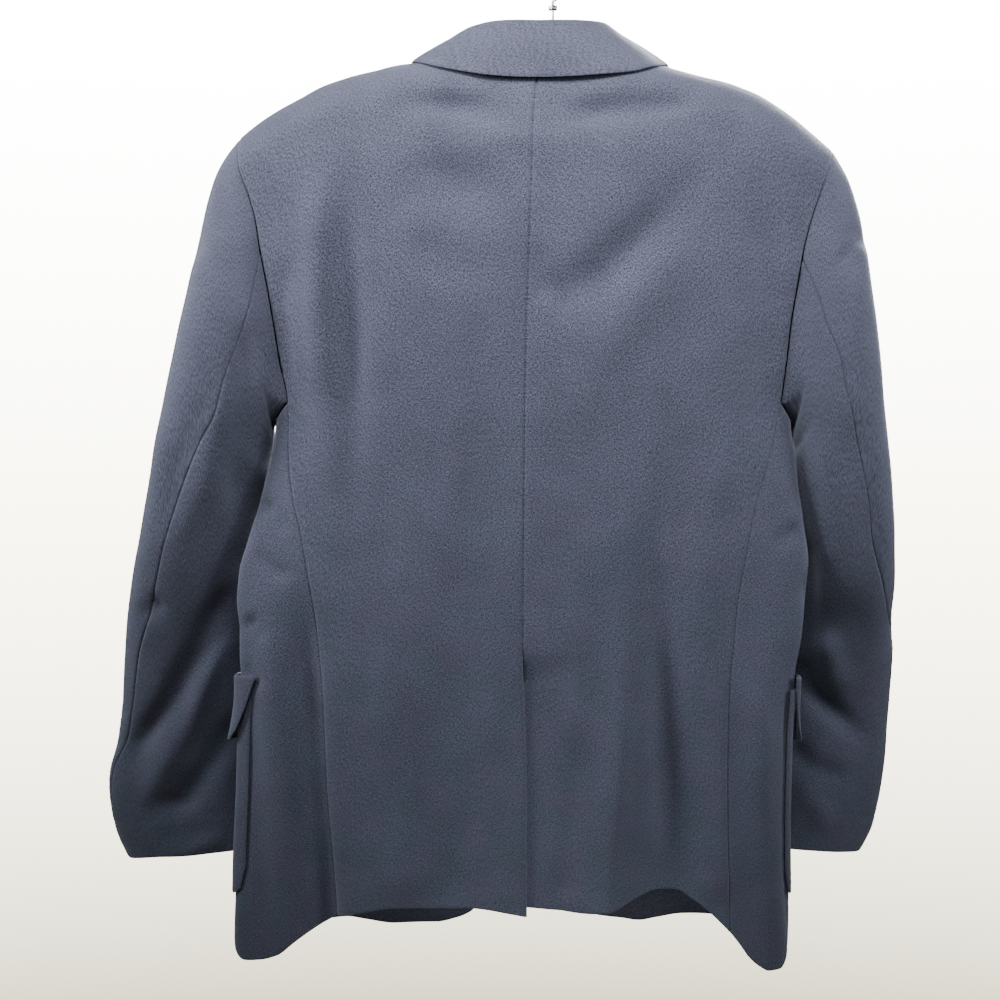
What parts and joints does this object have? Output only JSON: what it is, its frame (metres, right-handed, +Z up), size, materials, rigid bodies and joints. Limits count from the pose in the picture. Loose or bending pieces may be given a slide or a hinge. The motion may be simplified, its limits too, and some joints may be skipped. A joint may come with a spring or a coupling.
{
  "type": "blazer on a hanger",
  "caption": "Plain wool blazer with notch lapels, flapped patch pockets and a centre back vent, hanging empty on a plain hanger.",
  "frame": {"origin": "the top inside of the hook's bend, where it bears on a rail", "axes": "+Z up; +Y towards the blazer's back, the side the picture shows, with the buttoned front facing -Y; +X towards the wearer's left"},
  "size_m": [0.7431, 0.1727, 0.9169],
  "materials": {
    "cloth": "matte wool",
    "button": "satin",
    "hanger": "matte",
    "hook": "brushed"
  },
  "bodies": {
    "root": {"back_left": "cloth", "back_right": "cloth", "side_panel_left": "cloth", "side_panel_right": "cloth", "front_left": "cloth", "front_right": "cloth", "top_sleeve_left": "cloth", "top_sleeve_right": "cloth", "under_sleeve_left": "cloth", "under_sleeve_right": "cloth", "lapel_left": "cloth", "lapel_right": "cloth", "pocket_left": "cloth", "pocket_right": "cloth", "pocket_flap_left": "cloth", "pocket_flap_right": "cloth", "collar": "cloth", "button_1": "button", "button_2": "button", "hanger_arms": "hanger", "hanger_hook": "hook", "hook_ferrule": "hook"}
  },
  "joints": []
}
